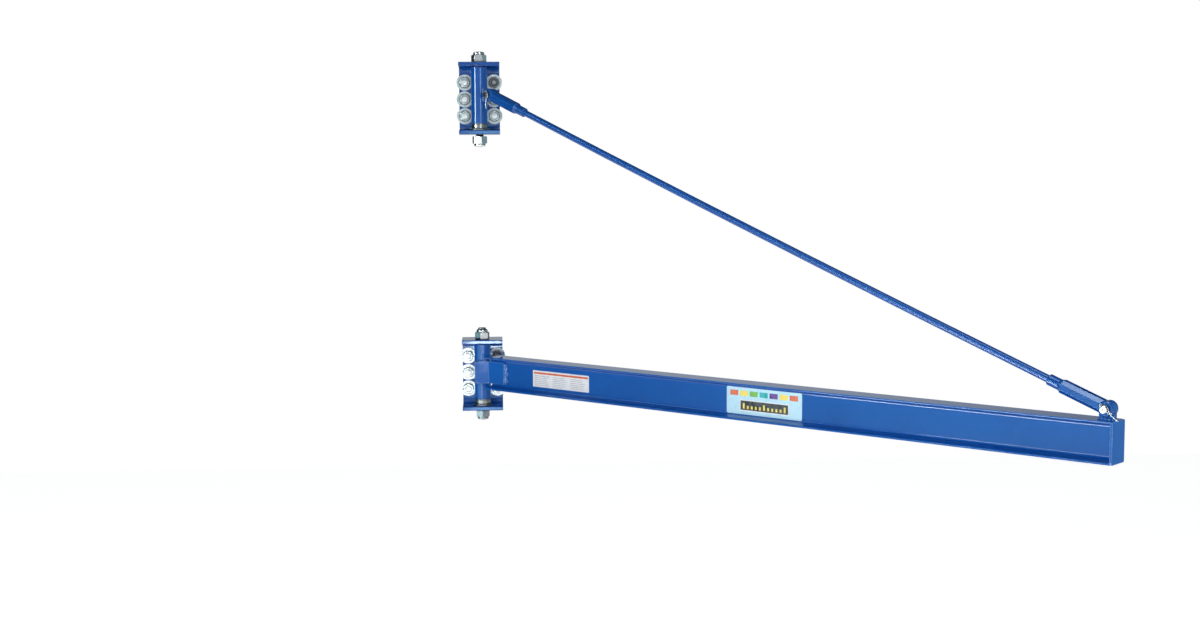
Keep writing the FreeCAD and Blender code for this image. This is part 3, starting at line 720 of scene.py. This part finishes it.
rays = sky.add("ShaderNodeLightPath").outputs
mirrored_rays = sky.math("MAXIMUM", rays["Is Glossy Ray"], rays["Is Transmission Ray"])
front_glow = by_height(lobe(0.0, -6.0, 75.0, 32.0, 1.0), -0.09, 0.04, 1.0, 0.62)
front_glow = by_height(front_glow, 0.14, 0.40, 1.0, 0.2)
left_glow = by_height(lobe(-50.0, -14.0, 44.0, 12.0, 1.6), -0.12, -0.02, 1.0, 0.0)
back_glow = by_height(lobe(180.0, 4.0, 32.0, 4.0, 0.50), 0.22, 0.42, 1.0, 0.05)
right_glow = sky.math("ADD", lobe(100.0, -8.0, 55.0, 20.0, 0.36), 0.05)
glows = both(both(shade((0.94, 0.98, 1.0), front_glow), shade((0.48, 0.92, 1.0), left_glow)),
             both(shade((0.92, 0.97, 1.0), back_glow), shade((0.60, 0.92, 1.0), right_glow)))
ambient = span(axes.outputs["Z"], -0.2, 0.8, 0.25, 0.09)
seen = blend(mirrored_rays, shade((0.93, 0.96, 1.0), ambient), glows)
seen = blend(rays["Is Camera Ray"], seen, shade((1.0, 1.0, 1.0), 1.0))
sky.link(seen, sky.add("ShaderNodeOutputWorld").inputs[0])


# Lamps. Those for gloss draw the bright bands on the rod, the web, the nuts and the brackets
COOL = (0.74, 0.93, 1.0)
WHITE_LIGHT = (1.0, 1.0, 1.0)


def lamp(name, place, target, size, radiance, colour=WHITE_LIGHT, seen_by="both", spread=180.0):
    """An area lamp, hidden from the camera. "gloss" lamps show in reflections only, and "matt" lamps never do.

    The radiance holds at a spread of 180 degrees. A narrower beam is brighter in its middle and dark outside.
    """
    data = bpy.data.lights.new(name, "AREA")
    data.shape = "RECTANGLE"
    data.size, data.size_y = size
    data.energy = radiance * math.pi * size[0] * size[1]
    data.color = colour
    data.spread = math.radians(spread)
    light = bpy.data.objects.new(name, data)
    scene.collection.objects.link(light)
    light.location = place
    light.rotation_mode = "QUATERNION"
    light.rotation_quaternion = (Vector(place) - Vector(target)).to_track_quat("Z", "Y")
    light.visible_camera = False
    light.visible_diffuse = seen_by != "gloss"
    light.visible_glossy = seen_by != "matt"


lamp("left_strip", (-7.80, -4.60, 1.26), (0.0, -0.10, 0.86), (2.1, 0.80), 26.0, COOL, "gloss")
lamp("right_strip", (1.58, -4.82, 1.10), (0.00, -0.08, 0.80), (0.50, 0.9), 12.0, COOL, "gloss")
lamp("left_high", (-2.00, -1.15, 2.00), (0.70, -0.87, 0.00), (3.2, 0.30), 8.0, COOL, "gloss")
lamp("left_low", (-1.97, -2.20, -1.14), (1.30, -1.40, 0.15), (1.6, 0.70), 5.6, COOL, "gloss", 90.0)
lamp("low_strip", (-1.20, -4.85, -0.63), (0.00, -0.10, 0.00), (0.55, 0.40), 8.0, COOL, "gloss")
lamp("nut_strip", (-5.00, -7.40, 0.72), (0.0, -0.08, 0.73), (1.8, 0.26), 7.0, WHITE_LIGHT, "gloss")
for z, tall, radiance, colour in ((-0.845, 0.08, 12.0, (0.36, 0.72, 1.0)),
                                  (-0.42, 0.12, 32.0, COOL),
                                  (0.850, 0.07, 8.4, (0.43, 0.86, 1.0))):
    name = "front_strip_%d" % (z * 1000)
    lamp(name, (0.00, -5.00, z), (0.00, -0.10, z), (0.30, tall), radiance, colour, "gloss")
lamp("end_strip", (1.48, -4.50, -0.42), (1.48, -1.50, 0.00), (0.35, 0.20), 14.0, COOL, "gloss")
lamp("overhead", (0.75, -2.56, 4.10), (0.70, -0.90, 0.20), (1.8, 1.0), 7.0, COOL, "gloss")
lamp("key", (-1.30, -3.60, 0.30), (0.72, -0.78, 0.00), (1.6, 1.6), 7.2, WHITE_LIGHT, "matt")
lamp("side", (-3.40, -2.20, 0.70), (0.50, -0.60, 0.20), (1.6, 1.6), 4.0, WHITE_LIGHT, "matt")
lamp("right_key", (0.60, -3.60, 0.50), (1.30, -1.40, 0.00), (1.2, 1.2), 2.9, WHITE_LIGHT, "matt")
lamp("fill", (3.20, -2.60, 0.60), (1.48, -1.50, 0.00), (1.2, 1.2), 6.6, WHITE_LIGHT, "matt")
lamp("top_fill", (0.60, -1.60, 4.50), (0.60, -0.80, 0.20), (2.0, 2.0), 1.3)
lamp("back_fill", (2.60, 2.60, 1.20), (0.60, -0.70, 0.20), (2.0, 2.0), 6.0, WHITE_LIGHT, "matt")

# Floor, well below the beam. It glows for the camera and in reflections, and takes the shadow of matt light
FLOOR_HALF, FLOOR_LEVEL, FLOOR_GLOW = 7.0, -1.6, 0.88
floor_mesh = bpy.data.meshes.new("floor")
floor_corners = [(x * FLOOR_HALF, y * FLOOR_HALF, FLOOR_LEVEL) for x, y in ((-1, -1), (1, -1), (1, 1), (-1, 1))]
floor_mesh.from_pydata(floor_corners, [], [(0, 1, 2, 3)])
floor = bpy.data.objects.new("floor", floor_mesh)
scene.collection.objects.link(floor)
floor_mat, floor_shader = new_material("pale_floor")
floor_shader.inputs["Base Color"].default_value = (0.82, 0.82, 0.82, 1.0)
floor_shader.inputs["Roughness"].default_value = 0.9
t = Tree(floor_mat.node_tree)
rays = t.add("ShaderNodeLightPath").outputs
mirrored = t.math("MAXIMUM", rays["Is Glossy Ray"], rays["Is Transmission Ray"])
shown = t.math("MAXIMUM", rays["Is Camera Ray"], mirrored)
t.link(t.math("MULTIPLY", shown, FLOOR_GLOW), floor_shader.inputs["Emission Strength"])
floor_shader.inputs["Emission Color"].default_value = (1.0, 1.0, 1.0, 1.0)
floor_mesh.materials.append(floor_mat)
